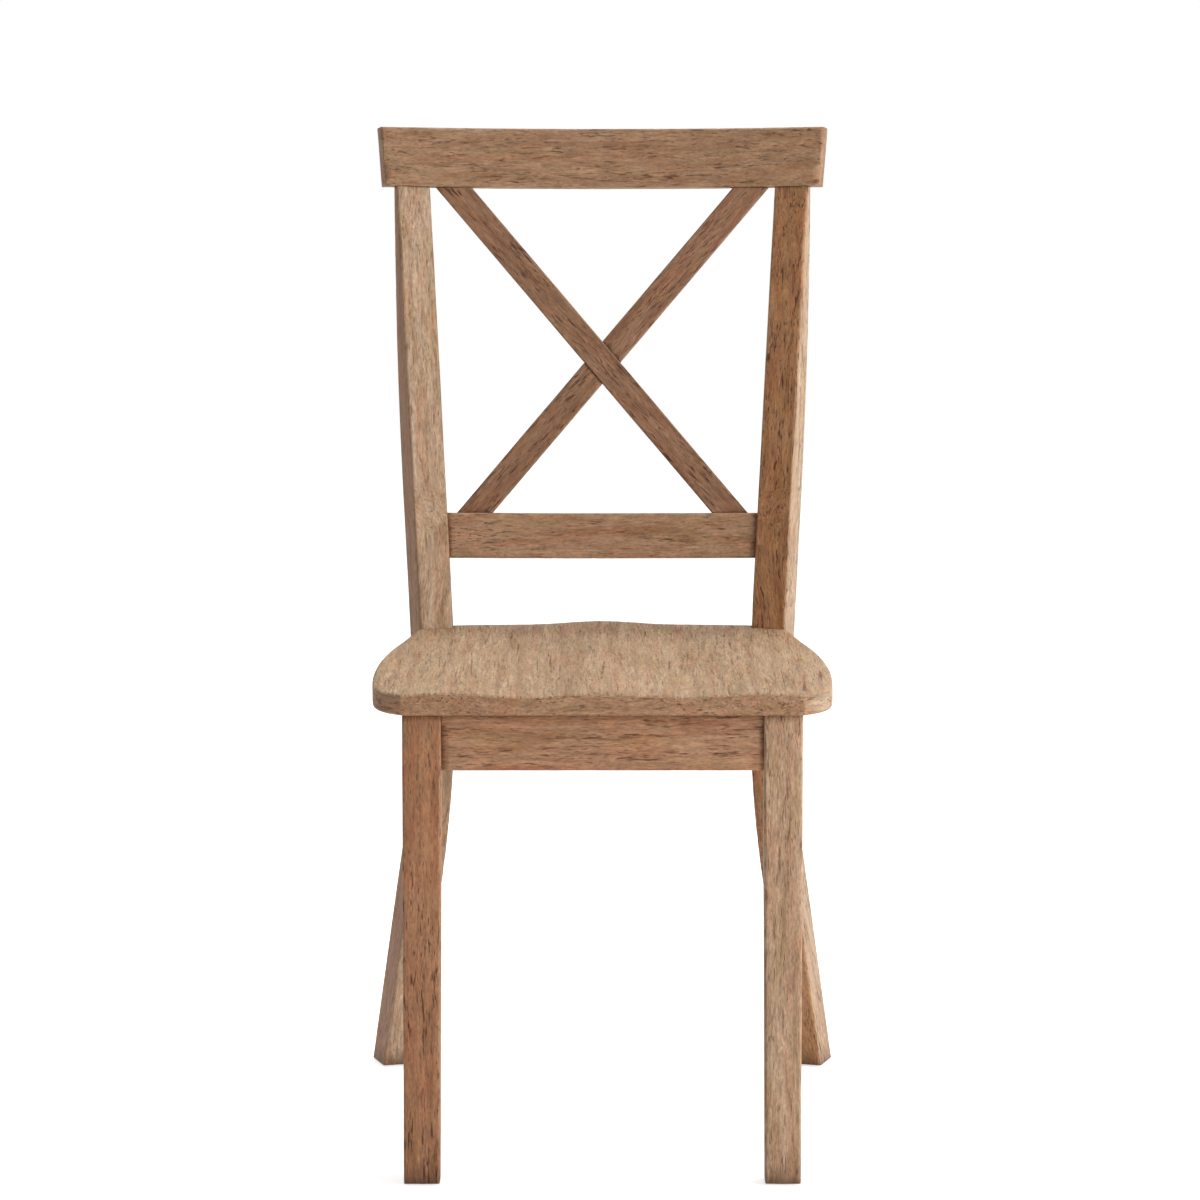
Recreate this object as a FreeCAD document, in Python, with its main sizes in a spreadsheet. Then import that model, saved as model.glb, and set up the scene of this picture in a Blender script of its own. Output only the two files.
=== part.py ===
import FreeCAD, Part
import math
import os
import re
import Sketcher

# Cross back dining chair, in millimetres. Z is up, the sitter faces -Y, and the origin is on the
# floor under the middle of the whole chair. Every wooden member is its own solid with its own
# tenons, mortises, dowel holes and screw holes.

Vector = FreeCAD.Vector
Rotation = FreeCAD.Rotation
Placement = FreeCAD.Placement
SIDES = (("left", -1), ("right", 1))
NEAR = 0.01

# Driving dimensions: name, number, meaning. Angles are in degrees.
SIZES = (
    ("front_leg_face_y", -267.5, "front faces of the front legs"),
    ("front_leg_outer_x", 183.0, "outer face of a front leg from the middle"),
    ("front_leg_size", 36.0, "square section of a front leg at the aprons"),
    ("front_foot_size", 33.4, "square section of a front leg at the floor"),
    ("back_foot_x", 210.1, "middle of a back foot from the middle of the chair"),
    ("back_foot_y", 261.1, "middle of a back foot in depth"),
    ("leg_turn", 17.5, "turn of the back legs in plan, front faces turned inwards"),
    ("leg_width", 34.2, "thickness of the plank that a back leg is sawn from"),
    ("leg_depth", 39.2, "depth of a back leg across its profile"),
    ("leg_kick", 25.7, "backward slope of the lower part of a back leg"),
    ("leg_rake", 10.4, "backward slope of the post above the seat"),
    ("knee_radius", 429.0, "radius of the front face at the knee"),
    ("knee_height", 402.9, "centre of the knee curve above the sole of the leg"),
    ("taper_start", 582.0, "height above the sole where the back of the post starts to thin"),
    ("taper_radius", 1736.0, "radius of the thinned back of the post"),
    ("trim_allowance", 20.0, "length left on the posts before their tenons are cut"),
    ("leg_rounding", 2.5, "worn rounding along the legs"),
    ("glide_projection", 1.5, "head of a foot glide under the wood"),
    ("glide_diameter", 20.0, "head of a foot glide"),
    ("glide_pin_diameter", 3.0, "nail of a foot glide"),
    ("glide_pin_length", 14.0, "nail of a foot glide inside the leg"),
    ("seat_underside", 440.0, "floor to the flat underside of the seat board"),
    ("seat_thickness", 29.0, "seat board at its highest rim"),
    ("seat_front_y", -283.5, "front edge of the seat board"),
    ("seat_depth", 420.0, "front edge to back edge of the seat board"),
    ("seat_half_width", 212.8, "half of the widest width of the seat board"),
    ("seat_widest_at", 117.0, "widest place behind the front edge"),
    ("seat_front_corner", 62.0, "radius of the corners in front"),
    ("seat_corner_depth", 51.3, "centre of the front corners behind the front edge"),
    ("seat_corner_easing", 5.0, "radius of the arris between the front edge and a corner"),
    ("seat_side_radius", 1105.0, "radius of the side edges in plan"),
    ("seat_rear_corner", 45.0, "corner radius at the back"),
    ("seat_back_radius", 1800.0, "radius of the back edge in plan"),
    ("seat_edge_rounding", 4.0, "rounding of the seat edges"),
    ("hollow_depth", 7.1, "depth of the two sitting hollows under the rim"),
    ("hollow_side_rise", 3.7, "rise of the seat from the hollows to its sides"),
    ("hollow_side_from", 75.0, "distance from the middle where the sides start to rise"),
    ("hollow_side_run", 65.0, "width of the rise to the sides"),
    ("ridge_height", 3.6, "ridge between the hollows"),
    ("ridge_half_width", 45.0, "half width of the ridge"),
    ("back_rim_width", 60.0, "slope from the back rim down to the hollows"),
    ("back_rim_bow", 48.0, "how far the back rim runs forward at its ends"),
    ("corner_fall", 2.0, "fall of the seat to its front corners"),
    ("corner_fall_from", 145.0, "distance from the middle where the front corners start to fall"),
    ("corner_fall_run", 45.0, "width of the fall to the front corners"),
    ("corner_fall_depth", 70.0, "reach of the fall behind the front edge"),
    ("apron_height", 53.5, "height of the four aprons"),
    ("apron_thickness", 20.0, "thickness of the four aprons"),
    ("apron_setback", 4.0, "aprons behind the outer faces of the legs"),
    ("rear_apron_inset", 2.0, "rear apron behind the inner front corner of the back legs"),
    ("apron_rounding", 1.5, "worn rounding along the lower edges of the aprons"),
    ("dowel_diameter", 8.0, "wooden dowels"),
    ("dowel_length", 34.0, "wooden dowels"),
    ("cross_dowel_spacing", 38.0, "dowel pair of the front and rear aprons"),
    ("side_dowel_spacing", 20.0, "dowel pair of the side aprons"),
    ("block_reach", 60.0, "corner block along each apron, from where the apron middles meet"),
    ("block_height", 36.0, "corner blocks"),
    ("block_screw_diameter", 5.0, "screws through the corner blocks into the legs"),
    ("block_screw_bite", 14.0, "block screw inside the leg"),
    ("block_screw_recess", 4.0, "heads of the block screws under the sloped face"),
    ("seat_screw_diameter", 4.5, "screws through the corner blocks into the seat"),
    ("seat_screw_length", 44.0, "seat screws below their heads' undersides"),
    ("seat_screw_inset", 21.6, "seat screws inside the middle of the front or rear apron"),
    ("seat_screw_offset", 34.6, "seat screws from the meeting of the apron middles, sideways"),
    ("screw_head_diameter", 9.0, "screw heads"),
    ("screw_head_height", 3.0, "screw heads"),
    ("screw_head_air", 0.5, "air around a sunk screw head"),
    ("screw_tip_radius", 0.3, "blunt end of a screw's point"),
    ("joint_clearance", 0.1, "air around tenons, dowels and screws"),
    ("crest_underside", 888.5, "height of the lower edge of the crest rail at its middle"),
    ("crest_height", 58.0, "crest rail along its lean"),
    ("crest_thickness", 18.0, "crest rail"),
    ("crest_half_length", 215.7, "crest rail, half of its upper front edge"),
    ("crest_end_slope", 4.6, "ends of the crest rail out of square"),
    ("crest_end_turn", 15.5, "ends of the crest rail turned to the front"),
    ("rail_bow_radius", 1250.0, "bow of both back rails in plan"),
    ("post_proud", 0.5, "outer front corner of the post before the crest rail"),
    ("post_tenon_thickness", 8.0, "tenon on top of a post"),
    ("post_tenon_width", 22.0, "tenon on top of a post"),
    ("post_tenon_length", 30.0, "tenon on top of a post"),
    ("post_tenon_setback", 3.0, "tenon behind the front face of the post"),
    ("lower_rail_top", 574.0, "height of the upper edge of the lower back rail at its middle"),
    ("lower_rail_height", 44.2, "lower back rail along its lean"),
    ("lower_rail_thickness", 18.0, "lower back rail"),
    ("lower_rail_setback", 6.5, "lower back rail behind the face of the crest rail"),
    ("lower_tenon_thickness", 8.0, "tenons of the lower back rail"),
    ("lower_tenon_height", 30.0, "tenons of the lower back rail"),
    ("lower_tenon_length", 15.0, "tenons of the lower back rail inside the posts"),
    ("rail_rounding", 2.1, "worn rounding along the back rails"),
    ("slat_width", 27.0, "slats of the cross"),
    ("slat_thickness", 11.0, "slats of the cross"),
    ("slat_top_x", 145.3, "middle of a slat at the crest rail"),
    ("slat_bottom_x", 124.7, "middle of a slat at the lower back rail"),
    ("slat_rounding", 1.5, "worn rounding along the slats"),
    ("slat_step", 1.5, "front slat before the rear slat"),
    ("slat_tenon_thickness", 6.0, "tenons of the slats"),
    ("slat_tenon_length", 11.0, "tenons of the slats"),
    ("slat_tenon_shoulder", 2.0, "slat beside its tenon at each edge"),
)

doc = FreeCAD.newDocument("cross_back_chair")
sheet = doc.addObject("Spreadsheet::Sheet", "Sizes")
for row, (alias, amount, meaning) in enumerate(SIZES, start=1):
    sheet.set(f"A{row}", meaning)
    sheet.set(f"B{row}", str(amount))
    sheet.setAlias(f"B{row}", alias)
doc.recompute()

ALIASES = {alias for alias, amount, meaning in SIZES}


def size(alias):
    return float(getattr(sheet, alias))


def bound(text):
    """The text as a document expression: every named size becomes its cell."""
    def cell(match):
        word = match.group(0)
        return f"Sizes.{word}" if word in ALIASES else word
    return re.sub(r"[a-z_]+", cell, text)


def worth(text):
    """The number that such a text gives now."""
    answer = sheet.evalExpression(bound(text))
    return float(getattr(answer, "Value", answer))


def bind(thing, **settings):
    for setting, text in settings.items():
        setattr(thing, setting, worth(text))
        thing.setExpression(setting, bound(text))


def body(label):
    made = doc.addObject("PartDesign::Body", label)
    made.Label = label
    return made


def sketch(owner, role, lift=None):
    """An empty sketch on a plane of the body, moved along its normal by the text lift."""
    made = owner.newObject("Sketcher::SketchObject", f"{owner.Name}_sketch")
    plane = [item for item in owner.Origin.OriginFeatures if item.Role == role][0]
    made.AttachmentSupport = [(plane, "")]
    made.MapMode = "FlatFace"
    if lift is not None:
        made.AttachmentOffset = Placement(Vector(0, 0, worth(lift)), Rotation())
        made.setExpression("AttachmentOffset.Base.z", bound(lift))
    return made


def hold(drawing, kind, *where, text):
    """Adds a dimension whose value is the text."""
    value = worth(text)
    if kind == "Angle":
        value = math.radians(value)
        text = f"({text}) * 1deg"
    index = drawing.addConstraint(Sketcher.Constraint(kind, *where, value))
    drawing.setExpression(f"Constraints[{index}]", bound(text))


def join(drawing, kind, *where):
    drawing.addConstraint(Sketcher.Constraint(kind, *where))


def polygon(drawing, corners):
    """A closed outline through corners, each a pair of texts."""
    spots = [Vector(worth(x), worth(y), 0) for x, y in corners]
    count = len(spots)
    for index in range(count):
        drawing.addGeometry(Part.LineSegment(spots[index], spots[(index + 1) % count]), False)
    for index, (x, y) in enumerate(corners):
        join(drawing, "Coincident", (index - 1) % count, 2, index, 1)
        hold(drawing, "DistanceX", -1, 1, index, 1, text=x)
        hold(drawing, "DistanceY", -1, 1, index, 1, text=y)


def arc(centre, radius, start, end):
    return Part.ArcOfCircle(Part.Circle(Vector(*centre, 0), Vector(0, 0, 1), radius), start, end)


def pad(owner, drawing, length, symmetric=False, backwards=False):
    made = owner.newObject("PartDesign::Pad", f"{owner.Name}_pad")
    made.Profile = drawing
    bind(made, Length=length)
    if symmetric:
        made.SideType = "Symmetric"
    made.Reversed = backwards
    return made


def round_edges(owner, radius, wanted):
    """Rounds the edges of the body's present shape for which wanted(edge) is true."""
    doc.recompute()
    tip = owner.Tip
    names = [f"Edge{number}" for number, edge in enumerate(tip.Shape.Edges, 1) if wanted(edge)]
    made = owner.newObject("PartDesign::Fillet", f"{owner.Name}_rounding")
    made.Base = (tip, names)
    bind(made, Radius=radius)
    doc.recompute()
    return made


def block(label, place, length, width, height):
    """A box centred on its place."""
    made = doc.addObject("Part::Box", label)
    bind(made, Length=length, Width=width, Height=height)
    half = Vector(worth(length) / 2, worth(width) / 2, worth(height) / 2)
    made.Placement = place.multiply(Placement(half.negative(), Rotation()))
    return made


def rod(label, place, diameter, length):
    """A cylinder from its place along the local Z axis."""
    made = doc.addObject("Part::Cylinder", label)
    bind(made, Radius=f"({diameter}) / 2", Height=length)
    made.Placement = place
    return made


def fuse(label, pieces):
    if len(pieces) == 1:
        return pieces[0]
    made = doc.addObject("Part::MultiFuse", label)
    made.Shapes = pieces
    return made


def cut(label, base, tools):
    made = doc.addObject("Part::Cut", label)
    made.Base = base
    made.Tool = fuse(f"{label}_tools", tools)
    made.Label = label
    return made


def along(direction):
    """A turn that brings the local Z axis to the direction."""
    return Rotation(Vector(0, 0, 1), direction)


finished = {}


# Lines of the back: where the posts and the leaning plane of the back are, from the sizes above.
TURN = math.radians(size("leg_turn"))
RAKE = math.radians(size("leg_rake"))
KICK = math.radians(size("leg_kick"))
LEAN = math.atan(math.tan(RAKE) * math.cos(TURN))
BOW = size("rail_bow_radius")
HALF_SOLE = size("leg_depth") / 2 / math.cos(KICK)
SHIN = (size("knee_height") - size("knee_radius") * math.sin(KICK)) / math.cos(KICK)
KNEE_Y = size("knee_radius") * math.cos(KICK) - SHIN * math.sin(KICK) - HALF_SOLE


def post_front(height):
    """Local depth of the straight front face of a post at a height above the floor."""
    rise = height - size("glide_projection") - size("knee_height")
    rise -= size("knee_radius") * math.sin(RAKE)
    return KNEE_Y - size("knee_radius") * math.cos(RAKE) + rise * math.tan(RAKE)


def knee_front(height):
    """Local depth of the curved front face of a back leg at a height near the knee."""
    rise = height - size("glide_projection") - size("knee_height")
    return KNEE_Y - math.sqrt(size("knee_radius") ** 2 - rise ** 2)


def leg_point(side, across, deep, height=0.0):
    """World point of a back leg: across from its middle outwards, deep from its foot backwards."""
    x = size("back_foot_x") + across * math.cos(TURN) + deep * math.sin(TURN)
    y = size("back_foot_y") - across * math.sin(TURN) + deep * math.cos(TURN)
    return Vector(side * x, y, height)


def bow(x):
    """How far the front face of a bowed rail is before its middle."""
    return BOW - math.sqrt(BOW ** 2 - x ** 2)


CREST_RISE = size("crest_underside") / math.cos(LEAN)
corner_height = size("crest_underside")
for attempt in range(4):
    corner = leg_point(1, size("leg_width") / 2, post_front(corner_height))
    corner_height = size("crest_underside") + bow(corner.x) * math.sin(LEAN)
BACK_Y = corner.y + size("post_proud") + bow(corner.x) * math.cos(LEAN) - CREST_RISE * math.sin(LEAN)
BACK = Placement(Vector(0, BACK_Y, 0), Rotation(Vector(1, 0, 0), -math.degrees(LEAN)))
LOWER_TOP_RISE = (size("lower_rail_top") + size("lower_rail_setback") * math.sin(LEAN)) / math.cos(LEAN)


def in_back(x, deep, rise, turn=Rotation()):
    """A place in the leaning plane of the back: x, behind the crest rail's face, along the lean."""
    return BACK.multiply(Placement(Vector(x, deep, rise), turn))


# Front legs: square and straight where the aprons join, tapered on the two inner faces below.
def front_leg_square(owner, side, section, lift):
    drawing = sketch(owner, "XY_Plane", lift)
    outer = f"{side} * front_leg_outer_x"
    inner = f"{side} * (front_leg_outer_x - {section})"
    back = f"front_leg_face_y + {section}"
    polygon(drawing, ((outer, "front_leg_face_y"), (inner, "front_leg_face_y"), (inner, back), (outer, back)))
    return drawing


def front_leg_blank(name, side):
    owner = body(f"front_leg_{name}_wood")
    foot = front_leg_square(owner, side, "front_foot_size", "glide_projection")
    knee = front_leg_square(owner, side, "front_leg_size", "seat_underside - apron_height")
    doc.recompute()
    taper = owner.newObject("PartDesign::AdditiveLoft", f"{owner.Name}_taper")
    taper.Profile = foot
    taper.Sections = [knee]
    taper.Ruled = True
    top = front_leg_square(owner, side, "front_leg_size", "seat_underside - apron_height")
    pad(owner, top, "apron_height")
    round_edges(owner, "leg_rounding", lambda edge: edge.BoundBox.ZLength > worth("apron_height") / 2)
    return owner


front_legs = {side: front_leg_blank(name, side) for name, side in SIDES}


# Back legs: leg and post in one piece, sawn from a plank to a curve and turned in plan.
def back_leg_profile(owner):
    radius = size("knee_radius")
    inner = radius - size("leg_depth")
    knee = Vector(KNEE_Y, size("knee_height"), 0)
    top = worth("crest_underside + trim_allowance")
    down = Vector(-math.cos(KICK), -math.sin(KICK), 0)
    up = Vector(-math.cos(RAKE), math.sin(RAKE), 0)
    climb = Vector(math.sin(RAKE), math.cos(RAKE), 0)
    front = (knee + down * radius, knee + up * radius)
    back = (knee + down * inner, knee + up * inner)
    front_top = front[1] + climb * ((top - front[1].y) / climb.y)
    thin_start = back[1] + climb * ((size("taper_start") - back[1].y) / climb.y)
    thin_centre = thin_start + up * size("taper_radius")
    thin_end = math.asin((top - thin_centre.y) / size("taper_radius"))
    back_top = Vector(thin_centre.x + size("taper_radius") * math.cos(thin_end), top, 0)
    heel = Vector(HALF_SOLE, 0, 0)
    toe = Vector(-HALF_SOLE, 0, 0)
    drawing = sketch(owner, "YZ_Plane")
    drawing.addGeometry(Part.LineSegment(toe, front[0]), False)
    drawing.addGeometry(arc((knee.x, knee.y), radius, math.pi - RAKE, math.pi + KICK), False)
    drawing.addGeometry(Part.LineSegment(front[1], front_top), False)
    drawing.addGeometry(Part.LineSegment(front_top, back_top), False)
    drawing.addGeometry(arc((thin_centre.x, thin_centre.y), size("taper_radius"), -RAKE, thin_end), False)
    drawing.addGeometry(Part.LineSegment(thin_start, back[1]), False)
    drawing.addGeometry(arc((knee.x, knee.y), inner, math.pi - RAKE, math.pi + KICK), False)
    drawing.addGeometry(Part.LineSegment(back[0], heel), False)
    drawing.addGeometry(Part.LineSegment(heel, toe), False)
    join(drawing, "Tangent", 0, 2, 1, 2)
    join(drawing, "Tangent", 1, 1, 2, 1)
    join(drawing, "Coincident", 2, 2, 3, 1)
    join(drawing, "Coincident", 3, 2, 4, 2)
    join(drawing, "Tangent", 4, 1, 5, 1)
    join(drawing, "Tangent", 5, 2, 6, 1)
    join(drawing, "Tangent", 6, 2, 7, 1)
    join(drawing, "Coincident", 7, 2, 8, 1)
    join(drawing, "Coincident", 8, 2, 0, 1)
    join(drawing, "PointOnObject", 0, 1, -1)
    join(drawing, "PointOnObject", 8, 1, -1)
    join(drawing, "Horizontal", 3)
    join(drawing, "Parallel", 2, 5)
    join(drawing, "Coincident", 6, 3, 1, 3)
    hold(drawing, "DistanceX", -1, 1, 8, 1, text="leg_depth / 2 / cos(leg_kick * 1deg)")
    hold(drawing, "DistanceX", -1, 1, 0, 1, text="-leg_depth / 2 / cos(leg_kick * 1deg)")
    hold(drawing, "Angle", 0, text="90 + leg_kick")
    hold(drawing, "Angle", 2, text="90 - leg_rake")
    hold(drawing, "Radius", 1, text="knee_radius")
    hold(drawing, "Radius", 6, text="knee_radius - leg_depth")
    hold(drawing, "Radius", 4, text="taper_radius")
    hold(drawing, "DistanceY", -1, 1, 1, 3, text="knee_height")
    hold(drawing, "DistanceY", -1, 1, 2, 2, text="crest_underside + trim_allowance")
    hold(drawing, "DistanceY", -1, 1, 5, 1, text="taper_start")
    return drawing


def back_leg_blank(name, side):
    owner = body(f"back_leg_{name}_wood")
    owner.Placement = Placement(leg_point(side, 0, 0), Rotation(Vector(0, 0, -side), size("leg_turn")))
    owner.setExpression("Placement.Base.x", bound(f"{side} * back_foot_x"))
    owner.setExpression("Placement.Base.y", bound("back_foot_y"))
    owner.setExpression("Placement.Base.z", bound("glide_projection"))
    owner.setExpression("Placement.Rotation.Angle", bound("leg_turn * 1deg"))
    pad(owner, back_leg_profile(owner), "leg_width", symmetric=True)
    flank = size("leg_width") / 2 - NEAR

    def along_the_leg(edge):
        box = edge.BoundBox
        return box.ZLength > size("leg_depth") and min(abs(box.XMin), abs(box.XMax)) > flank

    round_edges(owner, "leg_rounding", along_the_leg)
    return owner


back_legs = {side: back_leg_blank(name, side) for name, side in SIDES}

# The posts end under the crest rail, at a shoulder that lies in the rail's lower edge.
above_shoulder = block(
    "above_shoulder",
    in_back(0, 0, CREST_RISE + size("crest_height")),
    "3 * crest_half_length",
    "12 * crest_thickness",
    "2 * crest_height",
)


def post_top(side):
    """Middle of the top of a post: x, depth and rise in the leaning plane of the back."""
    spot = leg_point(1, 0, post_front(corner_height), corner_height)
    local = BACK.inverse().multVec(spot)
    return side * local.x, local.y


def post_tenon(label, side, clearance):
    """Starts inside the post, by as much as the tenon is thick, and runs its length into the rail."""
    x, front = post_top(side)
    angle = -side * math.degrees(math.asin(abs(x) / BOW))
    deep = front + size("post_tenon_setback") + size("post_tenon_thickness") / 2
    rise = CREST_RISE + (size("post_tenon_length") - size("post_tenon_thickness")) / 2
    place = in_back(x, deep, rise, Rotation(Vector(0, 0, 1), angle))
    width = f"post_tenon_width + 2 * {clearance}"
    thickness = f"post_tenon_thickness + 2 * {clearance}"
    height = f"post_tenon_length + post_tenon_thickness + 2 * {clearance}"
    return block(label, place, width, thickness, height)


# Rails of the back: planks bowed around the sitter, with radial ends.
def bow_outline(drawing, half, thickness):
    reach = math.asin(worth(half) / BOW)
    outside = BOW + worth(thickness)
    turn = (math.pi / 2 - reach, math.pi / 2 + reach)
    near = [Vector(BOW * math.cos(a), BOW * math.sin(a) - BOW, 0) for a in turn]
    far = [Vector(outside * math.cos(a), outside * math.sin(a) - BOW, 0) for a in turn]
    drawing.addGeometry(arc((0, -BOW), BOW, *turn), False)
    drawing.addGeometry(arc((0, -BOW), outside, *turn), False)
    drawing.addGeometry(Part.LineSegment(near[0], far[0]), False)
    drawing.addGeometry(Part.LineSegment(far[1], near[1]), False)
    join(drawing, "Coincident", 0, 1, 2, 1)
    join(drawing, "Coincident", 2, 2, 1, 1)
    join(drawing, "Coincident", 1, 2, 3, 1)
    join(drawing, "Coincident", 3, 2, 0, 2)
    join(drawing, "Coincident", 0, 3, 1, 3)
    join(drawing, "PointOnObject", 0, 3, -2)
    hold(drawing, "DistanceY", -1, 1, 0, 3, text="-rail_bow_radius")
    hold(drawing, "Radius", 0, text="rail_bow_radius")
    hold(drawing, "Radius", 1, text=f"rail_bow_radius + {thickness}")
    hold(drawing, "DistanceX", -1, 1, 0, 1, text=half)
    hold(drawing, "DistanceX", -1, 1, 0, 2, text=f"-({half})")
    wide = f"({half}) * (rail_bow_radius + {thickness}) / rail_bow_radius"
    hold(drawing, "DistanceX", -1, 1, 1, 1, text=wide)
    hold(drawing, "DistanceX", -1, 1, 1, 2, text=f"-({wide})")


def bowed_plank(label, place, half, thickness, height):
    owner = body(label)
    owner.Placement = place
    drawing = sketch(owner, "XY_Plane")
    bow_outline(drawing, half, thickness)
    pad(owner, drawing, height)
    round_edges(owner, "rail_rounding", lambda edge: edge.BoundBox.XLength > worth(half))
    return owner


crest_plank = bowed_plank(
    "crest_rail_plank",
    in_back(0, 0, CREST_RISE),
    "crest_half_length + crest_thickness / 2",
    "crest_thickness",
    "crest_height",
)


def end_trimmer(name, side):
    """A block that takes the sloped end off the crest rail."""
    half = size("crest_half_length")
    turn = Rotation(Vector(0, 0, 1), -side * size("crest_end_turn"))
    turn = turn.multiply(Rotation(Vector(0, 1, 0), side * size("crest_end_slope")))
    upper = in_back(side * half, -bow(half), CREST_RISE + size("crest_height"), turn)
    outwards = Placement(Vector(side * size("crest_thickness") / 2, 0, 0), Rotation())
    place = upper.multiply(outwards)
    return block(f"crest_end_{name}", place, "crest_thickness", "4 * crest_thickness", "4 * crest_height")


crest_trimmers = [end_trimmer(name, side) for name, side in SIDES]

# The lower rail stops at the inner faces of the posts and has a tenon into each.
lower_rise = LOWER_TOP_RISE - size("lower_rail_height")
lower_mid_height = size("lower_rail_top") - size("lower_rail_height") / 2
lower_corner = leg_point(1, -size("leg_width") / 2, post_front(lower_mid_height))
lower_plank = bowed_plank(
    "lower_rail_plank",
    in_back(0, size("lower_rail_setback"), lower_rise),
    f"({lower_corner.x} + leg_width / 2)",
    "lower_rail_thickness",
    "lower_rail_height",
)


def lower_tenon(label, side, clearance):
    """Starts inside the rail, by as much as the tenon is long, and runs its length into the post."""
    half_thickness = size("lower_rail_thickness") / 2
    x = lower_corner.x + (size("lower_rail_setback") + half_thickness) * math.tan(TURN)
    angle = math.asin(x / BOW)
    deep = size("lower_rail_setback") - bow(x) + half_thickness
    turn = Rotation(Vector(0, 0, 1), -side * math.degrees(angle))
    place = in_back(side * x, deep, lower_rise + size("lower_rail_height") / 2, turn)
    length = f"2 * lower_tenon_length + 2 * {clearance}"
    thickness = f"lower_tenon_thickness + 2 * {clearance}"
    return block(label, place, length, thickness, f"lower_tenon_height + 2 * {clearance}")


# Slats of the cross: flat strips between the rails, half-lapped where they cross.
def rail_middle(x, setback, thickness):
    return setback - bow(x) + thickness / 2


slat_top = in_back(0, rail_middle(size("slat_top_x"), 0, size("crest_thickness")), CREST_RISE).Base
slat_foot = in_back(
    0,
    rail_middle(size("slat_bottom_x"), size("lower_rail_setback"), size("lower_rail_thickness")),
    LOWER_TOP_RISE,
).Base
slat_run = slat_top - slat_foot
SLAT_LEAN = math.degrees(math.atan2(slat_run.y, slat_run.z))
SLAT_RISE = slat_run.Length
SLAT_FRAME = Placement((slat_top + slat_foot) * 0.5, Rotation(Vector(1, 0, 0), -SLAT_LEAN))
slat_angle = math.atan2(SLAT_RISE, size("slat_top_x") + size("slat_bottom_x"))
SLAT_HALF = size("slat_width") / 2 / math.sin(slat_angle)


def slat_strip(label, direction, extra, lift, thickness, symmetric, backwards=False, wider=0.0):
    """A strip of the cross. direction 1 falls to the right; extra lengthens it at both ends."""
    owner = body(label)
    owner.Placement = SLAT_FRAME
    drawing = sketch(owner, "XZ_Plane", lift)
    slope = (size("slat_top_x") + size("slat_bottom_x")) / SLAT_RISE
    half = SLAT_RISE / 2 + extra
    top_x = -direction * (size("slat_top_x") + slope * extra)
    foot_x = direction * (size("slat_bottom_x") + slope * extra)
    across = SLAT_HALF + wider
    corners = (
        (f"{foot_x - across}", f"{-half}"),
        (f"{foot_x + across}", f"{-half}"),
        (f"{top_x + across}", f"{half}"),
        (f"{top_x - across}", f"{half}"),
    )
    polygon(drawing, corners)
    pad(owner, drawing, thickness, symmetric=symmetric, backwards=backwards)
    return owner


SLATS = (("front", 1, -1), ("rear", -1, 1))


def slat_tenons(label, direction, order, clearance):
    """The thin inner layer of a slat, long enough to end in both rails."""
    offset = f"{-order} * slat_step / 2"
    reach = size("slat_tenon_length") + clearance
    thickness = f"slat_tenon_thickness + 2 * {clearance}"
    wider = clearance - size("slat_tenon_shoulder")
    return slat_strip(label, direction, reach, offset, thickness, True, wider=wider)


slats = []
gap = size("joint_clearance")
for name, direction, order in SLATS:
    offset = f"{-order} * slat_step / 2"
    spare = size("slat_tenon_shoulder")
    strip = slat_strip(f"slat_{name}_strip", direction, spare, offset, "slat_thickness", True)
    round_edges(strip, "slat_rounding", lambda edge: edge.Length > SLAT_RISE)
    fitted = cut(f"slat_{name}_fitted", strip, [crest_plank, lower_plank])
    tenons = slat_tenons(f"slat_{name}_tenons", direction, order, 0.0)
    whole = fuse(f"slat_{name}_blank", [fitted, tenons])
    notch = slat_strip(f"slat_{name}_notch", -direction, 0.0, "0", "slat_thickness", False, order < 0)
    slats.append(cut(f"cross_slat_{name}", whole, [notch]))
    finished[f"cross_slat_{name}"] = slats[-1]

slat_mortises = [
    slat_tenons(f"slat_{name}_mortise", direction, order, gap) for name, direction, order in SLATS
]
post_mortises = [post_tenon(f"post_{name}_mortise", side, gap) for name, side in SIDES]
finished["crest_rail"] = cut("crest_rail", crest_plank, crest_trimmers + slat_mortises + post_mortises)

lower_shouldered = cut("lower_rail_shouldered", lower_plank, list(back_legs.values()))
lower_tenons = [lower_tenon(f"lower_tenon_{name}", side, 0.0) for name, side in SIDES]
lower_whole = fuse("lower_rail_whole", [lower_shouldered] + lower_tenons)
finished["lower_back_rail"] = cut("lower_back_rail", lower_whole, slat_mortises)


# Aprons: the front one between the front legs, the others fitted to the sawn back legs.
MID_APRON = size("seat_underside") - size("apron_height") / 2
front_apron_y = size("front_leg_face_y") + size("apron_setback") + size("apron_thickness") / 2
knee_corner = leg_point(1, -size("leg_width") / 2, knee_front(MID_APRON))
rear_apron_y = knee_corner.y + size("rear_apron_inset") + size("apron_thickness") / 2
side_front_y = size("front_leg_face_y") + size("front_leg_size")
outer_corner = leg_point(1, size("leg_width") / 2, knee_front(MID_APRON))
side_back_x = outer_corner.x - size("apron_setback")
side_front_x = size("front_leg_outer_x") - size("apron_setback")
side_back_y = leg_point(1, 0, knee_front(MID_APRON) + size("leg_depth") / 2).y


def straight_apron(label, half, middle_y):
    owner = body(label)
    drawing = sketch(owner, "XY_Plane", "seat_underside - apron_height")
    near = f"{middle_y} - apron_thickness / 2"
    far = f"{middle_y} + apron_thickness / 2"
    polygon(drawing, ((f"-({half})", near), (half, near), (half, far), (f"-({half})", far)))
    pad(owner, drawing, "apron_height")
    low = size("seat_underside") - size("apron_height") + NEAR

    def lower_edge(edge):
        return edge.BoundBox.ZMax < low and edge.BoundBox.XLength > size("block_reach")

    round_edges(owner, "apron_rounding", lower_edge)
    return owner


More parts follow.
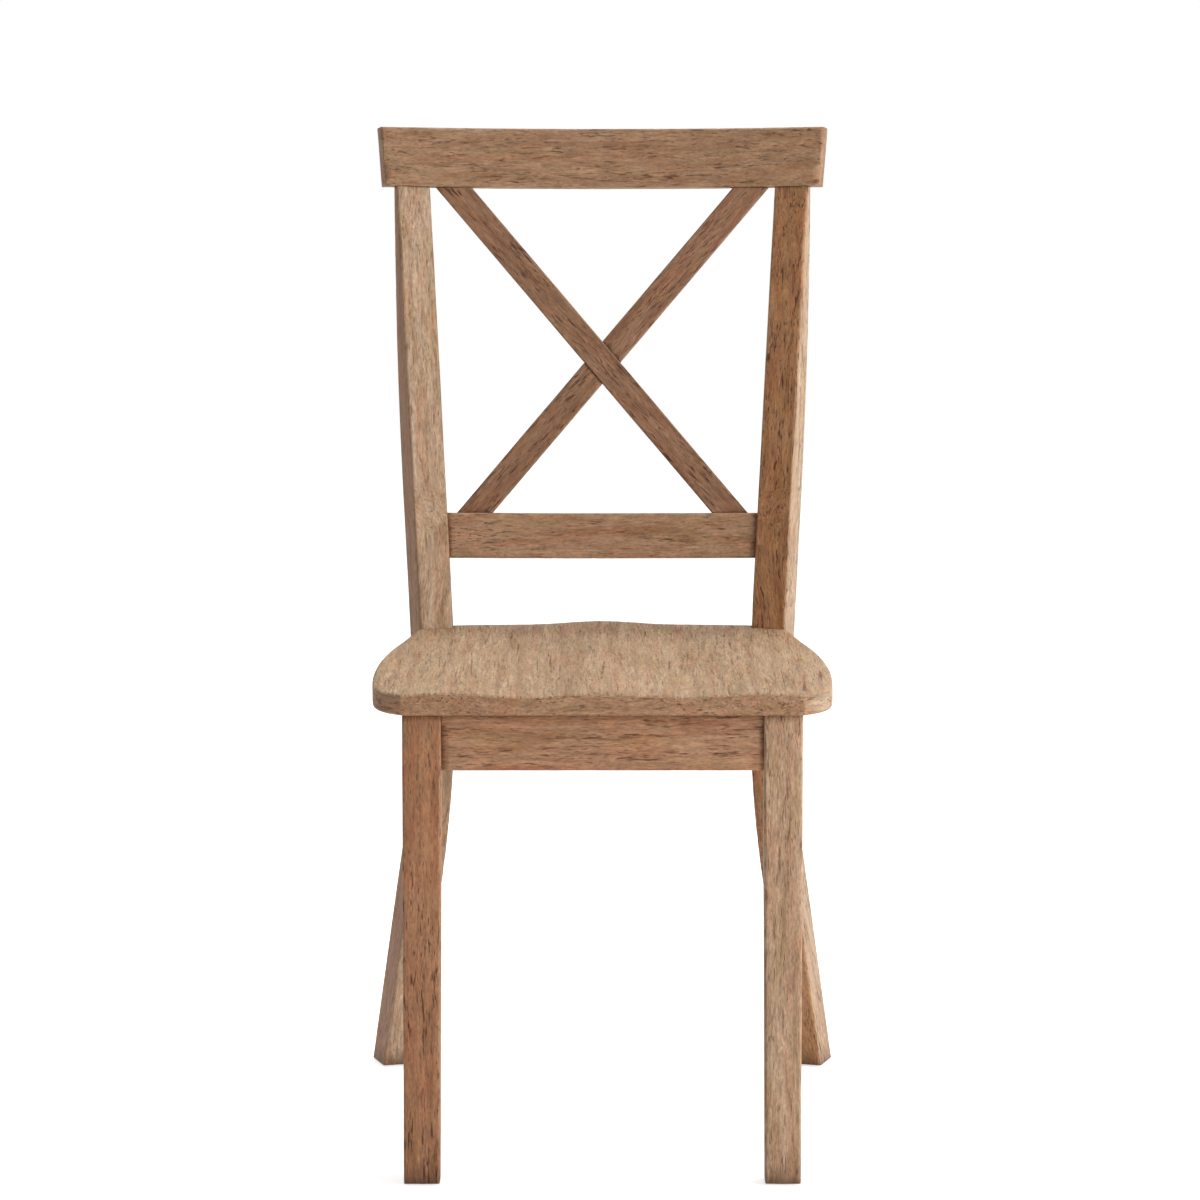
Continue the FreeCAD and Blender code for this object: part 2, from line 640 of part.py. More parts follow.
def side_apron(name, side):
    owner = body(f"side_apron_{name}_board")
    drawing = sketch(owner, "XY_Plane", "seat_underside - apron_height")
    corners = (
        (f"{side} * ({side_front_x})", f"{side_front_y}"),
        (f"{side} * ({side_back_x})", f"{side_back_y}"),
        (f"{side} * ({side_back_x} - apron_thickness)", f"{side_back_y}"),
        (f"{side} * ({side_front_x} - apron_thickness)", f"{side_front_y}"),
    )
    polygon(drawing, corners)
    pad(owner, drawing, "apron_height")
    low = size("seat_underside") - size("apron_height") + NEAR

    def lower_edge(edge):
        return edge.BoundBox.ZMax < low and edge.BoundBox.YLength > size("block_reach")

    round_edges(owner, "apron_rounding", lower_edge)
    return owner


front_board = straight_apron(
    "front_apron_board",
    "front_leg_outer_x - front_leg_size",
    "(front_leg_face_y + apron_setback + apron_thickness / 2)",
)
rear_half = f"({knee_corner.x} + leg_width / 2)"
rear_board = straight_apron("rear_apron_board", rear_half, f"({rear_apron_y})")
side_boards = {side: side_apron(name, side) for name, side in SIDES}


# Dowels of the apron joints, in pairs, and the holes that take them.
def dowel_pair(label, spot, direction, spacing, clearance):
    pieces = []
    for number, sign in enumerate((-1, 1), start=1):
        length = size("dowel_length") + 2 * clearance
        start = spot - direction * (length / 2)
        start = Vector(start.x, start.y, MID_APRON + sign * size(spacing) / 2)
        place = Placement(start, along(direction))
        name = f"{label}_{number}"
        pieces.append(rod(name, place, f"dowel_diameter + 2 * {clearance}", f"{length}"))
    return pieces


def side_line(distance_y):
    """x of the middle of the right side apron at a depth."""
    share = (distance_y - side_front_y) / (side_back_y - side_front_y)
    return side_front_x + (side_back_x - side_front_x) * share - size("apron_thickness") / 2


side_end_y = leg_point(1, 0, knee_front(MID_APRON)).y
rear_end_x = knee_corner.x + (rear_apron_y - knee_corner.y) * math.tan(TURN)
front_end_x = size("front_leg_outer_x") - size("front_leg_size")
APRON_JOINTS = []
for name, side in SIDES:
    sideways = Vector(1, 0, 0)
    lengthways = Vector(0, 1, 0)
    APRON_JOINTS.append(("front", name, Vector(side * front_end_x, front_apron_y, 0), sideways))
    APRON_JOINTS.append(("rear", name, Vector(side * rear_end_x, rear_apron_y, 0), sideways))
    for end, y in (("side_front", side_front_y), ("side_rear", side_end_y)):
        APRON_JOINTS.append((end, name, Vector(side * side_line(y), y, 0), lengthways))


def pairs(kinds, names, clearance, suffix):
    found = []
    for kind, name, spot, direction in APRON_JOINTS:
        if kind in kinds and name in names:
            spacing = "side_dowel_spacing" if kind.startswith("side") else "cross_dowel_spacing"
            found += dowel_pair(f"{kind}_{name}_{suffix}", spot, direction, spacing, clearance)
    return found


def group(label, pieces):
    made = doc.addObject("Part::Compound", label)
    made.Links = pieces
    made.Label = label
    return made


BOTH = ("left", "right")
finished["front_apron_dowels"] = group("front_apron_dowels", pairs(("front",), BOTH, 0.0, "dowel"))
finished["rear_apron_dowels"] = group("rear_apron_dowels", pairs(("rear",), BOTH, 0.0, "dowel"))
for name, side in SIDES:
    label = f"side_apron_dowels_{name}"
    finished[label] = group(label, pairs(("side_front", "side_rear"), (name,), 0.0, "dowel"))


# Foot glides: a nylon button with a nail, one under each leg.
front_foot = size("front_leg_outer_x") - size("front_foot_size") / 2
front_foot_y = size("front_leg_face_y") + size("front_foot_size") / 2
GLIDES = []
for name, side in SIDES:
    GLIDES.append(("front", name, Vector(side * front_foot, front_foot_y, 0)))
    GLIDES.append(("back", name, leg_point(side, 0, 0)))


def glide(label, spot, clearance):
    place = Placement(spot, Rotation())
    head = rod(f"{label}_head", place, "glide_diameter", "glide_projection")
    pin_length = f"glide_projection + glide_pin_length + {clearance}"
    pin = rod(f"{label}_pin", place, f"glide_pin_diameter + 2 * {clearance}", pin_length)
    return head, pin


glide_holes = {}
for end, name, spot in GLIDES:
    label = f"foot_glide_{end}_{name}"
    finished[label] = fuse(label, list(glide(label, spot, 0.0)))
    glide_holes[(end, name)] = glide(f"{label}_hole", spot, gap)[1]


# Screws: one through each corner block into its leg, one up into the seat.
FRONT_MEET = Vector(side_line(side_front_y), front_apron_y, 0)
REAR_MEET = Vector(side_line(side_end_y), rear_apron_y, 0)
BLOCK_TOP = size("seat_underside")
BLOCK_LOW = BLOCK_TOP - size("block_height")
front_inner_corner = Vector(front_end_x, side_front_y, MID_APRON)
CORNERS = []
for name, side in SIDES:
    CORNERS.append(("front", name, side, 1, FRONT_MEET, front_inner_corner))
    CORNERS.append(("rear", name, side, -1, REAR_MEET, Vector(knee_corner.x, knee_corner.y, MID_APRON)))


def screw(label, head_spot, direction, diameter, length, clearance):
    """Head at the start, shank with a short point along the direction."""
    place = Placement(head_spot, along(direction))
    around = 2 * clearance
    head = rod(f"{label}_head", place, f"screw_head_diameter + {around}", "screw_head_height")
    shank_length = f"screw_head_height + {length} - {diameter} / 2"
    shank = rod(f"{label}_shank", place, f"{diameter} + {around}", shank_length)
    tip_start = head_spot + direction * worth(shank_length)
    tip = doc.addObject("Part::Cone", f"{label}_tip")
    bind(tip, Radius1=f"({diameter} + {around}) / 2", Radius2="screw_tip_radius")
    bind(tip, Height=f"{diameter} / 2 + {clearance}")
    tip.Placement = Placement(tip_start, along(direction))
    return fuse(label, [head, shank, tip])


def block_screw(label, side, inward, meet, corner, clearance):
    """From the sloped face of the block, sunk, through it and into the leg's inner corner."""
    direction = Vector(side, -inward, 0).normalize()
    spot = Vector(side * corner.x, corner.y, MID_APRON)
    reach = size("block_reach") / math.sqrt(2)
    from_meet = Vector(side * meet.x, meet.y, MID_APRON)
    face = from_meet - direction * reach
    head = face + direction * size("block_screw_recess")
    length = (spot - head).dot(direction) + size("block_screw_bite") - size("screw_head_height")
    return screw(label, head, direction, "block_screw_diameter", f"{length}", clearance), head, direction


def seat_screw(label, side, inward, meet, clearance):
    """Up through the block beside the block screw, and into the seat board."""
    x = side * (meet.x - size("seat_screw_offset"))
    spot = Vector(x, meet.y + inward * size("seat_screw_inset"), BLOCK_LOW)
    return screw(label, spot, Vector(0, 0, 1), "seat_screw_diameter", "seat_screw_length", clearance), spot


def corner_block(end, name, side, inward, meet):
    owner = body(f"corner_block_{end}_{name}_wood")
    drawing = sketch(owner, "XY_Plane", "seat_underside - block_height")
    x = f"{side * meet.x}"
    y = f"{meet.y}"
    corners = ((x, y), (f"{x} - {side} * block_reach", y), (x, f"{y} + {inward} * block_reach"))
    polygon(drawing, corners)
    pad(owner, drawing, "block_height")
    return owner


block_screws = []
seat_screws = []
screw_holes = {}
head_pockets = {}
for end, name, side, inward, meet, inner in CORNERS:
    label = f"block_screw_{end}_{name}"
    made, head, direction = block_screw(label, side, inward, meet, inner, 0.0)
    block_screws.append(made)
    hole, head, direction = block_screw(f"{label}_hole", side, inward, meet, inner, gap)
    pocket_length = "block_screw_recess + screw_head_height"
    pocket_place = Placement(head - direction * worth(pocket_length), along(direction))
    pocket = rod(f"{label}_pocket", pocket_place, "screw_head_diameter + 2 * screw_head_air", pocket_length)
    made, spot = seat_screw(f"seat_screw_{end}_{name}", side, inward, meet, 0.0)
    seat_screws.append(made)
    seat_hole, spot = seat_screw(f"seat_screw_{end}_{name}_hole", side, inward, meet, gap)
    screw_holes[(end, name)] = (hole, seat_hole)
    head_pockets[(end, name)] = pocket
finished["corner_block_screws"] = group("corner_block_screws", block_screws)
finished["seat_screws"] = group("seat_screws", seat_screws)

for end, name, side, inward, meet, inner in CORNERS:
    wood = corner_block(end, name, side, inward, meet)
    neighbours = [side_boards[side], front_board if end == "front" else rear_board]
    neighbours.append(front_legs[side] if end == "front" else back_legs[side])
    hole, seat_hole = screw_holes[(end, name)]
    label = f"corner_block_{end}_{name}"
    finished[label] = cut(label, wood, neighbours + [hole, seat_hole, head_pockets[(end, name)]])

# Legs and aprons with their holes.
for name, side in SIDES:
    holes = pairs(("front", "side_front"), (name,), gap, "leg_hole")
    tools = holes + [glide_holes[("front", name)], screw_holes[("front", name)][0]]
    finished[f"front_leg_{name}"] = cut(f"front_leg_{name}", front_legs[side], tools)
    shouldered = cut(f"back_leg_{name}_shouldered", back_legs[side], [above_shoulder])
    tenoned = fuse(f"back_leg_{name}_tenoned", [shouldered, post_tenon(f"post_{name}_tenon", side, 0.0)])
    holes = pairs(("rear", "side_rear"), (name,), gap, "leg_hole")
    tools = holes + [glide_holes[("back", name)], screw_holes[("rear", name)][0]]
    tools.append(lower_tenon(f"lower_{name}_mortise", side, gap))
    finished[f"back_leg_{name}"] = cut(f"back_leg_{name}", tenoned, tools)
    holes = pairs(("side_front", "side_rear"), (name,), gap, "apron_hole")
    label = f"side_apron_{name}"
    finished[label] = cut(label, side_boards[side], [back_legs[side]] + holes)
finished["front_apron"] = cut("front_apron", front_board, pairs(("front",), BOTH, gap, "apron_hole"))
rear_tools = list(back_legs.values()) + pairs(("rear",), BOTH, gap, "apron_hole")
finished["rear_apron"] = cut("rear_apron", rear_board, rear_tools)


# Seat: one board with a rounded outline, scooped on top and fitted around the posts.
def seat_outline(drawing):
    """The front is straight and meets each corner at a slight angle, everything else is tangent."""
    half, corner, flank = size("seat_half_width"), size("seat_front_corner"), size("seat_side_radius")
    rear, spread, depth = size("seat_rear_corner"), size("seat_back_radius"), size("seat_depth")
    widest, behind, arris = size("seat_widest_at"), size("seat_corner_depth"), size("seat_corner_easing")
    side_c = Vector(half - flank, widest, 0)
    back_c = Vector(0, depth - spread, 0)
    corner_x = side_c.x + math.sqrt((flank - corner) ** 2 - (widest - behind) ** 2)
    corner_c = Vector(corner_x, behind, 0)
    arris_x = corner_x + math.sqrt((corner - arris) ** 2 - (behind - arris) ** 2)
    arris_c = Vector(arris_x, arris, 0)
    gap_between = back_c - side_c
    span = gap_between.Length
    along_it = (span ** 2 + (flank - rear) ** 2 - (spread - rear) ** 2) / (2 * span)
    aside = math.sqrt((flank - rear) ** 2 - along_it ** 2)
    unit = gap_between.normalize()
    rear_c = side_c + unit * along_it + Vector(-unit.y, unit.x, 0) * aside
    if rear_c.y < widest:
        rear_c = side_c + unit * along_it - Vector(-unit.y, unit.x, 0) * aside

    def heading(start, end):
        return math.atan2(end.y - start.y, end.x - start.x)

    start = heading(corner_c, arris_c)
    low = heading(side_c, corner_c)
    high = heading(side_c, rear_c)
    top = heading(back_c, rear_c)
    # Right half from the front edge to the back, then the left half the other way round.
    right = (
        (arris_c, arris, -math.pi / 2, start, "seat_corner_easing"),
        (corner_c, corner, start, low, "seat_front_corner"),
        (side_c, flank, low, high, "seat_side_radius"),
        (rear_c, rear, high, top, "seat_rear_corner"),
    )
    left = []
    for centre, radius, first, last, text in reversed(right):
        left.append((Vector(-centre.x, centre.y, 0), radius, math.pi - last, math.pi - first, text))
    back = (back_c, spread, top, math.pi - top, "seat_back_radius")
    drawing.addGeometry(Part.LineSegment(Vector(-arris_x, 0, 0), Vector(arris_x, 0, 0)), False)
    join_at = list(right) + [back] + left
    for centre, radius, first, last, text in join_at:
        drawing.addGeometry(arc((centre.x, centre.y), radius, first, last), False)
    for index in range(len(join_at)):
        join(drawing, "Tangent", index, 2, index + 1, 1)
    join(drawing, "Tangent", len(join_at), 2, 0, 1)
    join(drawing, "PointOnObject", 0, 1, -1)
    join(drawing, "PointOnObject", 0, 2, -1)
    join(drawing, "PointOnObject", 5, 3, -2)
    for index, (centre, radius, first, last, text) in enumerate(join_at, start=1):
        hold(drawing, "Radius", index, text=text)
    for index, sign in ((3, 1), (7, -1)):
        hold(drawing, "DistanceX", -1, 1, index, 3, text=f"{sign} * (seat_half_width - seat_side_radius)")
        hold(drawing, "DistanceY", -1, 1, index, 3, text="seat_widest_at")
    for index in (2, 8):
        hold(drawing, "DistanceY", -1, 1, index, 3, text="seat_corner_depth")
    hold(drawing, "DistanceY", -1, 1, 5, 3, text="seat_depth - seat_back_radius")


def ease(share):
    """Smooth step from 0 to 1."""
    share = min(max(share, 0.0), 1.0)
    return share * share * (3 - 2 * share)


def scoop(x, y):
    """Depth of the seat's top under its highest rim, y from the front edge."""
    ridge = math.exp(-(x / size("ridge_half_width")) ** 2)
    rim = size("seat_depth") - size("back_rim_bow") * (x / size("seat_half_width")) ** 2
    fall = ease((rim - y) / size("back_rim_width"))
    rise = size("hollow_side_rise") * ease((abs(x) - size("hollow_side_from")) / size("hollow_side_run"))
    worn = ease((abs(x) - size("corner_fall_from")) / size("corner_fall_run"))
    worn *= size("corner_fall") * ease(1 - y / size("corner_fall_depth"))
    return size("ridge_height") * (1 - ridge) + fall * (size("hollow_depth") - rise) + worn


def scoop_tool():
    """Everything above the scooped top of the seat."""
    columns = 31
    rows = 29
    margin = size("seat_thickness") / 2
    wide = size("seat_half_width") + margin
    deep = size("seat_depth") + 2 * margin
    grid = []
    for column in range(columns):
        x = wide * (2 * column / (columns - 1) - 1)
        line = []
        for step in range(rows):
            y = deep * step / (rows - 1) - margin
            line.append(Vector(x, y, size("seat_thickness") - scoop(x, y)))
        grid.append(line)
    surface = Part.BSplineSurface()
    surface.interpolate(grid)
    made = doc.addObject("Part::Feature", "seat_scoop")
    made.Shape = surface.toShape().extrude(Vector(0, 0, 2 * size("seat_thickness")))
    return made


seat_board = body("seat_board")
seat_sketch = sketch(seat_board, "XY_Plane")
seat_outline(seat_sketch)
pad(seat_board, seat_sketch, "seat_thickness + hollow_depth")
seat_place = Placement(Vector(0, size("seat_front_y"), size("seat_underside")), Rotation())
scooped = cut("seat_scooped", seat_board, [scoop_tool()])
doc.recompute()
rounded = doc.addObject("Part::Fillet", "seat_rounded")
rounded.Base = scooped
rim_edges = []
for number, edge in enumerate(scooped.Shape.Edges, start=1):
    flat = edge.BoundBox.ZLength < size("seat_thickness") / 2
    if flat:
        rim_edges.append((number, size("seat_edge_rounding"), size("seat_edge_rounding")))
rounded.Edges = rim_edges
seat_moved = doc.addObject("Part::Compound", "seat_moved")
seat_moved.Links = [rounded]
seat_moved.Placement = seat_place
seat_tools = list(back_legs.values())
seat_tools += [screw_holes[(end, name)][1] for end, name, side, inward, meet, inner in CORNERS]
finished["seat"] = cut("seat", seat_moved, seat_tools)

doc.recompute()
for item in doc.Objects:
    if "Invalid" in item.State or "Error" in item.State:
        raise RuntimeError(f"{item.Label} is {item.State}")
os.makedirs("parts", exist_ok=True)
for label, item in finished.items():
    shape = item.Shape
    if shape.isNull() or not shape.isValid() or not shape.Solids:
        raise RuntimeError(f"{label} has no valid shape")
    item.Label = label
    shape.exportStep(f"parts/{label}.step")
    print(label, len(shape.Solids), round(shape.Volume / 1000, 1))
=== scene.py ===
import math

import bmesh
import bpy
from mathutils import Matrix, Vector, noise


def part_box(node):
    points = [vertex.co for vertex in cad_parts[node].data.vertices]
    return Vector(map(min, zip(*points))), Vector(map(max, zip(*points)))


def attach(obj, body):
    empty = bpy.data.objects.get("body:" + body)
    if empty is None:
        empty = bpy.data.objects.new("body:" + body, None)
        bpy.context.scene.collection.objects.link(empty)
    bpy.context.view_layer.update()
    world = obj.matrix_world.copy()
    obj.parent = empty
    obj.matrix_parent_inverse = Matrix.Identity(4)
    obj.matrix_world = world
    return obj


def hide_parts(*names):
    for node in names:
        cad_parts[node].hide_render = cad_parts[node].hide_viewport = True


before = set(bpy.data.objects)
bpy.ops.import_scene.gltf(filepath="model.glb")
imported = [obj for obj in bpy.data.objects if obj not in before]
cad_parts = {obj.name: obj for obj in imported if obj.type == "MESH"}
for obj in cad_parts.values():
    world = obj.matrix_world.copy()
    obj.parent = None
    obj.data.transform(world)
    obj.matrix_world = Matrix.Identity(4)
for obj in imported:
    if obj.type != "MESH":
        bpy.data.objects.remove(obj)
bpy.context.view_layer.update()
MM = 0.001

# Front legs: square stock of rubberwood, planed, tapered on the two inner faces below the aprons,
# stained, rubbed with a pale wash and waxed. The left one came from redder timber. Figure is how
# strong the dark marks are. Each foot darkens towards the floor over its lowest 22 mm: painted
# contact shade.
FRONT_LEG_TONES = {"left": "#9f714e", "right": "#b09175"}
FRONT_LEG_FIGURE = {"left": 1.4, "right": 0.8}
FOOT_SHADE_HEIGHT = 22


def linear(hex_colour):
    """An sRGB hex colour as the linear RGBA that a shader socket takes."""
    parts = [int(hex_colour[start:start + 2], 16) / 255 for start in (1, 3, 5)]
    return [p / 12.92 if p <= 0.04045 else ((p + 0.055) / 1.055) ** 2.4 for p in parts] + [1.0]


def add(tree, kind, inputs=(), output=0, **settings):
    """Adds one shader node and gives back one of its outputs. inputs sets its sockets to a number, a
    colour or another node's output."""
    made = tree.nodes.new("ShaderNode" + kind)
    for key, value in settings.items():
        setattr(made, key, value)
    for key, value in dict(inputs).items():
        if isinstance(value, bpy.types.NodeSocket):
            tree.links.new(value, made.inputs[key])
        else:
            made.inputs[key].default_value = value
    return made.outputs[output] if made.outputs else None


def new_material(name):
    """An empty node material and its Principled shader, already joined to the output."""
    material = bpy.data.materials.new(name)
    material.use_nodes = True
    tree = material.node_tree
    tree.nodes.clear()
    shader = add(tree, "BsdfPrincipled")
    add(tree, "OutputMaterial", {"Surface": shader})
    return material, tree, shader.node


def streaks(tree, place, along, across, seed, low, high, floor, top, detail=2.0, wobble=0.3):
    """Marks drawn out along the grain, along and across mm in size: floor where their noise is under
    low, top where it is over high, and smooth between."""
    squeeze = (1 / (along * MM), 1 / (across * MM), 1 / (across * MM))
    shift = (seed, seed * 1.7, -seed)
    spread = add(tree, "Mapping", {"Vector": place, "Scale": squeeze, "Location": shift})
    field = add(tree, "TexNoise", {"Vector": spread, "Scale": 1.0, "Detail": detail, "Distortion": wobble})
    range_ends = {"Value": field, "From Min": low, "From Max": high, "To Min": floor, "To Max": top}
    return add(tree, "MapRange", range_ends, interpolation_type="SMOOTHSTEP")


# Tints that the stain and the wash leave, each rubbed in where its streaks are: their length and
# width in mm, the noise between which they fade in, their strength and their colour.
WASH_TINTS = (
    (150, 10, 0.42, 0.68, 0.50, "#d3bfaa"),
    (60, 11, 0.47, 0.66, 0.45, "#ffdfce"),
    (70, 14, 0.46, 0.66, 0.55, "#e9e5c9"),
    (34, 4.5, 0.50, 0.70, 0.45, "#cdb49c"),
)


# Rubberwood has open vessels 0.2 to 0.3 mm wide and up to 20 mm long. They are drawn 1 mm wide and
# more, because finer ones don't show in the render. Stain gathers in and around them, so that they
# read as brown dashes in loose clusters, between redder and greener patches of a wash rubbed in.
STAIN_TINT = "#94745a"
VESSEL_TINT = "#8a6a52"
CRACK_TINT = "#8f6d52"
FOOT_SHADE_TINT = "#a5927f"
BARE_EDGE_TINT = "#cdb59c"
WOOD_IOR = 1.5


def stained_rubberwood(name, tone, seed, painted_flanks=(), long=1.0, wide=1.0, depth=1.0, checks=0.0,
                       relief=0.5, shaded_foot_up_to=0.0):
    """Stained and washed rubberwood in a base tone, with its figure shifted by seed.

    The flank tones colour faces turned to the left and to the right: painted light and shade, paler
    on faces lit by the lamp on the right and darker on faces turned from it. long and wide stretch
    the figure along and across the grain, depth is that of the dark marks, checks is the share of
    drying cracks and relief is the height of the raised grain in mm. Up to so many mm above the
    floor a foot darkens: painted contact shade."""
    material, tree, shader = new_material(name)
    grain = add(tree, "Attribute", output="Vector", attribute_name="grain")
    face = add(tree, "NewGeometry", output="Normal")

    def marks(along, across, number, low, high, floor=0.0, top=1.0, detail=2.0):
        """Streaks of this piece's grain; number keeps them apart from its other streaks."""
        long_side, short_side, shifted = along * long, across * wide, seed + number
        return streaks(tree, grain, long_side, short_side, shifted, low, high, floor, top, detail)

    # Coats over the base tone, the lowest first: where, how much of it, in which tint, and how laid.
    coats = []
    # Painted light and shade: faces turned to the right, towards the lamp, and faces turned to the left each
    # take a flank tone.
    if painted_flanks:
        turned = add(tree, "SeparateXYZ", {"Vector": face}, "X")
        for side, painted_flank in zip((-1, 1), painted_flanks):
            ends = {"Value": turned, "From Min": 0.55 * side, "From Max": 0.85 * side}
            coats.append((add(tree, "MapRange", ends), 1.0, linear(painted_flank), "MIX"))
    for number, (along, across, low, high, strength, tint) in enumerate(WASH_TINTS):
        share = marks(along, across, 5 * number, low, high, 0.0, strength, 3.0)
        coats.append((share, 1.0, linear(tint), "MULTIPLY"))
    mottle = marks(17, 4.5, 9, 0.28, 0.72, 0.86, 1.14, 6.0)
    fibre = marks(20, 1.6, 13, 0.28, 0.72, 0.87, 1.13, 3.0)
    grit = marks(4.5, 2.0, 17, 0.25, 0.75, 0.82, 1.18, 4.0)
    coats += [(1.0, 1.0, shade, "MULTIPLY") for shade in (mottle, fibre, grit)]
    cluster = marks(70, 10, 21, 0.44, 0.6)
    stains = {0: marks(17, 2.1, 27, 0.54, 0.68, detail=3.0), 1: cluster}
    stains = add(tree, "Math", stains, operation="MULTIPLY")
    coats.append((stains, 0.85 * depth, linear(STAIN_TINT), "MULTIPLY"))
    vessels = {0: marks(9, 1.4, 35, 0.56, 0.68), 1: marks(50, 8, 38, 0.4, 0.6, floor=0.25)}
    vessels = add(tree, "Math", vessels, operation="MULTIPLY")
    coats.append((vessels, 0.6 * depth, linear(VESSEL_TINT), "MULTIPLY"))
    sunk = add(tree, "Math", {0: stains, 1: vessels}, operation="ADD")
    if checks:
        fissures = streaks(tree, grain, 130, 3.4, seed + 51, 0.63, 0.67, 0.0, 1.0, 3.0, 0.5)
        crack = {0: fissures, 1: marks(34, 12, 55, 0.46, 0.56)}
        crack = add(tree, "Math", crack, operation="MULTIPLY")
        coats.append((crack, 0.7 * checks, linear(CRACK_TINT), "MULTIPLY"))
        sunk = add(tree, "Math", {0: crack, 1: 1.6 * checks, 2: sunk}, operation="MULTIPLY_ADD")
    # Painted contact shade: the foot darkens towards the floor, from so many mm above it down to 2 mm.
    if shaded_foot_up_to:
        height = add(tree, "SeparateXYZ", {"Vector": grain}, "X")
        ends = {"Value": height, "From Min": shaded_foot_up_to * MM, "From Max": 2 * MM, "To Max": 0.8}
        coats.append((add(tree, "MapRange", ends), 1.0, linear(FOOT_SHADE_TINT), "MULTIPLY"))
    edge = add(tree, "Bevel", {"Radius": 2.2 * MM}, samples=4)
    bend = add(tree, "VectorMath", {0: edge, 1: face}, "Value", operation="DOT_PRODUCT")
    rubbed = add(tree, "MapRange", {"Value": bend, "From Min": 0.995, "From Max": 0.9})
    worn = {0: rubbed, 1: marks(24, 9, 41, 0.38, 0.62, 0.0, 0.3, 3.0)}
    worn = add(tree, "Math", worn, operation="MULTIPLY")
    coats.append((worn, 1.0, linear(BARE_EDGE_TINT), "MIX"))
    colour = linear(tone)
    for share, strength, tint, way in coats:
        amount = add(tree, "Math", {0: share, 1: strength}, operation="MULTIPLY")
        laid = {0: amount, 6: colour, 7: tint}
        colour = add(tree, "Mix", laid, 2, data_type="RGBA", blend_type=way)
    gloss = {"Value": fibre, "From Min": 0.87, "From Max": 1.13, "To Min": 0.59, "To Max": 0.71}
    sheen = add(tree, "MapRange", gloss)
    rough = add(tree, "Math", {0: sunk, 1: 0.15, 2: sheen}, operation="MULTIPLY_ADD")
    raised = add(tree, "Math", {0: mottle, 1: 1.4, 2: grit}, operation="MULTIPLY_ADD")
    height = add(tree, "Math", {0: sunk, 1: -0.7, 2: raised}, operation="MULTIPLY_ADD")
    bumps = add(tree, "Bump", {"Height": height, "Strength": 0.8, "Distance": relief * MM})
    tree.links.new(colour, shader.inputs["Base Color"])
    tree.links.new(rough, shader.inputs["Roughness"])
    tree.links.new(bumps, shader.inputs["Normal"])
    shader.inputs["IOR"].default_value = WOOD_IOR
    return material


def cut_up(form, spacing):
    """Cuts a mesh along planes across X, Y and Z, so that its faces are about spacing wide."""
    for axis in range(3):
        places = [v.co[axis] for v in form.verts]
        low, high = min(places), max(places)
        count = int((high - low) / spacing)
        normal = Vector([float(axis == other) for other in range(3)])
        for step in range(1, count + 1):
            spot = normal * (low + (high - low) * step / (count + 1))
            parts = form.verts[:] + form.edges[:] + form.faces[:]
            bmesh.ops.bisect_plane(form, geom=parts, dist=1e-6, plane_co=spot, plane_no=normal)


def sharpness(vertex):
    """How much a vertex lies on an outward edge: 0 on a flat face, about 1.5 on a square corner."""
    return sum(max(0.0, edge.calc_face_angle_signed(0.0)) for edge in vertex.link_edges) / 2


LONG_WAVES = 45 * MM
SHORT_WAVES = 14 * MM
FULLY_SHARP = 0.35
CREASE = math.radians(38)


def hand_worn(node, finish, grain, spacing=8 * MM, unevenness=0.25 * MM, edge_wear=0.35 * MM):
    """The CAD node as a finely divided mesh whose faces are uneven and whose edges are rubbed off.

    Vertices only move inwards. grain(point, normal) gives the place along, across and through the
    grain, in metres, which the material reads."""
    form = bmesh.new()
    form.from_mesh(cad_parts[node].data)
    bmesh.ops.remove_doubles(form, verts=form.verts, dist=1e-6)
    bmesh.ops.dissolve_limit(form, angle_limit=math.radians(0.2), verts=form.verts, edges=form.edges)
    cut_up(form, spacing)
    bmesh.ops.remove_doubles(form, verts=form.verts, dist=0.05 * MM)
    bmesh.ops.triangulate(form, faces=form.faces)
    form.normal_update()
    seed = Vector((len(node) * 3.1, sum(map(ord, node)) * 0.17, 5.0))
    moves = []
    for vertex in form.verts:
        slow = 0.5 + 0.5 * noise.noise(vertex.co / LONG_WAVES + seed)
        quick = 0.5 + 0.5 * noise.noise(vertex.co / SHORT_WAVES - seed)
        edge = min(1.0, sharpness(vertex) / FULLY_SHARP)
        moves.append(vertex.normal * (unevenness * slow + edge_wear * edge * quick))
    for vertex, move in zip(form.verts, moves):
        vertex.co -= move
    mesh = bpy.data.meshes.new(node + "_worn")
    form.to_mesh(mesh)
    form.free()
    mesh.set_sharp_from_angle(angle=CREASE)
    places = mesh.attributes.new("grain", "FLOAT_VECTOR", "CORNER")
    for face in mesh.polygons:
        for corner in face.loop_indices:
            point = mesh.vertices[mesh.loops[corner].vertex_index].co
            places.data[corner].vector = grain(point, face.normal)
    piece = bpy.data.objects.new(node + "_worn", mesh)
    bpy.context.scene.collection.objects.link(piece)
    mesh.materials.append(finish)
    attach(piece, "root")
    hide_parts(node)
    return piece


def upright(point, normal):
    """Grain that runs up."""
    return (point.z, point.x, point.y)


for number, (name, tone) in enumerate(FRONT_LEG_TONES.items()):
    finish = stained_rubberwood(
        f"stained_rubberwood_front_leg_{name}", tone, seed=3.0 + 11 * number,
        depth=FRONT_LEG_FIGURE[name], shaded_foot_up_to=FOOT_SHADE_HEIGHT)
    hand_worn(f"front_leg_{name}", finish, upright)


# Back legs: leg and post in one piece, sawn from thick rubberwood plank to a curve and turned a
# little towards the middle of the chair. Their tones carry painted light from the lamp on the right:
# the left leg's front, turned to it, is paler and its sides darker with painted shade; the right
# leg's front is darker with painted shade and its sides paler with painted light and sheen.
BACK_LEG_LIT_AND_SHADED_TONES = {"left": ("#b09479", "#966d4b"), "right": ("#a3764e", "#af957c")}
BACK_LEG_FIGURE = {"left": 0.6, "right": 1.5}


